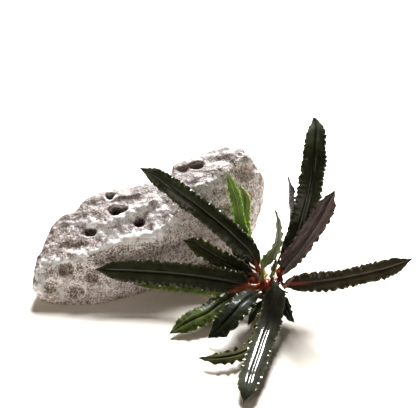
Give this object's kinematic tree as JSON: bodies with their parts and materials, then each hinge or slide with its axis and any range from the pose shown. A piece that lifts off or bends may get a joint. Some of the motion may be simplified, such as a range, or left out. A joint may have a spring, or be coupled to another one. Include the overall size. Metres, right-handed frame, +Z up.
{
  "type": "bucephalandra plant on stone",
  "caption": "Aquarium rosette of dark, ruffled strap leaves growing from a red creeping stem against a pale pitted stone that rests on a flat face.",
  "frame": {"origin": "on the flat face that the stone rests on, near its middle", "axes": "+Z up; +X along the stone to the end where the plant grows; -Y the side that the leaves spread to"},
  "size_m": [0.1676, 0.128, 0.0746],
  "materials": {
    "stone": "matte",
    "rhizome": "satin",
    "dark_leaf": "gloss",
    "olive_leaf": "gloss",
    "bright_leaf": "gloss",
    "yellow_leaf": "gloss",
    "brown_leaf": "gloss",
    "purple_leaf": "gloss"
  },
  "bodies": {
    "root": {"bract": "rhizome", "leaf_along_stone": "dark_leaf", "leaf_brown": "brown_leaf", "leaf_edge_on": "dark_leaf", "leaf_front": "dark_leaf", "leaf_front_dark": "dark_leaf", "leaf_front_left": "olive_leaf", "leaf_front_low": "olive_leaf", "leaf_front_right": "dark_leaf", "leaf_front_short": "yellow_leaf", "leaf_green_short": "bright_leaf", "leaf_green_tall": "bright_leaf", "leaf_olive": "olive_leaf", "leaf_over_stone": "dark_leaf", "leaf_purple": "purple_leaf", "leaf_right": "brown_leaf", "leaf_slim_short": "yellow_leaf", "leaf_slim_upright": "yellow_leaf", "leaf_tall": "dark_leaf", "leaf_under": "bright_leaf", "rhizome": "rhizome", "sheath_tip": "brown_leaf", "stone": "stone"}
  },
  "joints": []
}
